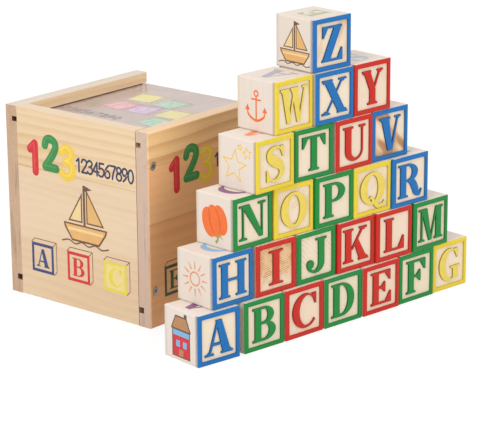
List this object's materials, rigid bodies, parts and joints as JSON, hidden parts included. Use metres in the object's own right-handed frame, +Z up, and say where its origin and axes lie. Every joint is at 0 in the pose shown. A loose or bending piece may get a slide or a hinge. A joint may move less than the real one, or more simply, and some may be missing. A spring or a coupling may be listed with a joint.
{
  "type": "alphabet block set",
  "caption": "Carved wooden letter blocks stacked in a stepped wall, beside the pine storage crate with a sliding clear lid that they pack into.",
  "frame": {"origin": "on the ground under the middle of the whole set's box", "axes": "+X along the way the crate's lid slides open, from the crate's front to its back; +Z up; the wall of blocks stands on the -Y side of the crate, its carved faces turned 7.5 degrees from -Y towards -X"},
  "size_m": [0.218, 0.2066, 0.1805],
  "materials": {
    "block_wood": "smooth sanded pale basswood",
    "pine": "smooth waxed pine with visible grain",
    "plywood": "sanded thin plywood",
    "clear_acrylic": "clear polished sheet",
    "screw_steel": "zinc plated",
    "paint_blue": "satin enamel on wood",
    "paint_green": "satin enamel on wood",
    "paint_red": "satin enamel on wood",
    "paint_yellow": "satin enamel on wood",
    "print_ink": "thin screen-printed ink"
  },
  "bodies": {
    "crate": {"front_panel": "pine", "back_panel": "pine", "left_side_panel": "pine", "right_side_panel": "pine", "bottom_panel": "plywood", "screws": "screw_steel"},
    "lid": {"lid": "clear_acrylic"},
    "block_a": {"block_a": "block_wood"},
    "block_b": {"block_b": "block_wood"},
    "block_c": {"block_c": "block_wood"},
    "block_d": {"block_d": "block_wood"},
    "block_e": {"block_e": "block_wood"},
    "block_f": {"block_f": "block_wood"},
    "block_g": {"block_g": "block_wood"},
    "block_h": {"block_h": "block_wood"},
    "block_i": {"block_i": "block_wood"},
    "block_j": {"block_j": "block_wood"},
    "block_k": {"block_k": "block_wood"},
    "block_l": {"block_l": "block_wood"},
    "block_m": {"block_m": "block_wood"},
    "block_n": {"block_n": "block_wood"},
    "block_o": {"block_o": "block_wood"},
    "block_p": {"block_p": "block_wood"},
    "block_q": {"block_q": "block_wood"},
    "block_r": {"block_r": "block_wood"},
    "block_s": {"block_s": "block_wood"},
    "block_t": {"block_t": "block_wood"},
    "block_u": {"block_u": "block_wood"},
    "block_v": {"block_v": "block_wood"},
    "block_w": {"block_w": "block_wood"},
    "block_x": {"block_x": "block_wood"},
    "block_y": {"block_y": "block_wood"},
    "block_z": {"block_z": "block_wood"}
  },
  "joints": [
    {"name": "lid_slide", "type": "slide", "parent": "crate", "child": "lid", "axis": [1, 0, 0], "range_m": [0, 0.11]},
    {"name": "block_a_pull", "type": "slide", "parent": "crate", "child": "block_a", "axis": [-0.1305, -0.9914, 0], "range_m": [0, 0.04]},
    {"name": "block_b_pull", "type": "slide", "parent": "crate", "child": "block_b", "axis": [-0.1305, -0.9914, 0], "range_m": [0, 0.04]},
    {"name": "block_c_pull", "type": "slide", "parent": "crate", "child": "block_c", "axis": [-0.1305, -0.9914, 0], "range_m": [0, 0.04]},
    {"name": "block_d_pull", "type": "slide", "parent": "crate", "child": "block_d", "axis": [-0.1305, -0.9914, 0], "range_m": [0, 0.04]},
    {"name": "block_e_pull", "type": "slide", "parent": "crate", "child": "block_e", "axis": [-0.1305, -0.9914, 0], "range_m": [0, 0.04]},
    {"name": "block_f_pull", "type": "slide", "parent": "crate", "child": "block_f", "axis": [-0.1305, -0.9914, 0], "range_m": [0, 0.04]},
    {"name": "block_g_pull", "type": "slide", "parent": "crate", "child": "block_g", "axis": [-0.1305, -0.9914, 0], "range_m": [0, 0.04]},
    {"name": "block_h_pull", "type": "slide", "parent": "crate", "child": "block_h", "axis": [-0.1305, -0.9914, 0], "range_m": [0, 0.04]},
    {"name": "block_i_pull", "type": "slide", "parent": "crate", "child": "block_i", "axis": [-0.1305, -0.9914, 0], "range_m": [0, 0.04]},
    {"name": "block_j_pull", "type": "slide", "parent": "crate", "child": "block_j", "axis": [-0.1305, -0.9914, 0], "range_m": [0, 0.04]},
    {"name": "block_k_pull", "type": "slide", "parent": "crate", "child": "block_k", "axis": [-0.1305, -0.9914, 0], "range_m": [0, 0.04]},
    {"name": "block_l_pull", "type": "slide", "parent": "crate", "child": "block_l", "axis": [-0.1305, -0.9914, 0], "range_m": [0, 0.04]},
    {"name": "block_m_pull", "type": "slide", "parent": "crate", "child": "block_m", "axis": [-0.1305, -0.9914, 0], "range_m": [0, 0.04]},
    {"name": "block_n_pull", "type": "slide", "parent": "crate", "child": "block_n", "axis": [-0.1305, -0.9914, 0], "range_m": [0, 0.04]},
    {"name": "block_o_pull", "type": "slide", "parent": "crate", "child": "block_o", "axis": [-0.1305, -0.9914, 0], "range_m": [0, 0.04]},
    {"name": "block_p_pull", "type": "slide", "parent": "crate", "child": "block_p", "axis": [-0.1305, -0.9914, 0], "range_m": [0, 0.04]},
    {"name": "block_q_pull", "type": "slide", "parent": "crate", "child": "block_q", "axis": [-0.1305, -0.9914, 0], "range_m": [0, 0.04]},
    {"name": "block_r_pull", "type": "slide", "parent": "crate", "child": "block_r", "axis": [-0.1305, -0.9914, 0], "range_m": [0, 0.04]},
    {"name": "block_s_pull", "type": "slide", "parent": "crate", "child": "block_s", "axis": [-0.1305, -0.9914, 0], "range_m": [0, 0.04]},
    {"name": "block_t_pull", "type": "slide", "parent": "crate", "child": "block_t", "axis": [-0.1305, -0.9914, 0], "range_m": [0, 0.04]},
    {"name": "block_u_pull", "type": "slide", "parent": "crate", "child": "block_u", "axis": [-0.1305, -0.9914, 0], "range_m": [0, 0.04]},
    {"name": "block_v_pull", "type": "slide", "parent": "crate", "child": "block_v", "axis": [-0.1305, -0.9914, 0], "range_m": [0, 0.04]},
    {"name": "block_w_pull", "type": "slide", "parent": "crate", "child": "block_w", "axis": [-0.1305, -0.9914, 0], "range_m": [0, 0.04]},
    {"name": "block_x_pull", "type": "slide", "parent": "crate", "child": "block_x", "axis": [-0.1305, -0.9914, 0], "range_m": [0, 0.04]},
    {"name": "block_y_lift", "type": "slide", "parent": "crate", "child": "block_y", "axis": [0, 0, 1], "range_m": [0, 0.04]},
    {"name": "block_z_lift", "type": "slide", "parent": "crate", "child": "block_z", "axis": [0, 0, 1], "range_m": [0, 0.04]}
  ]
}
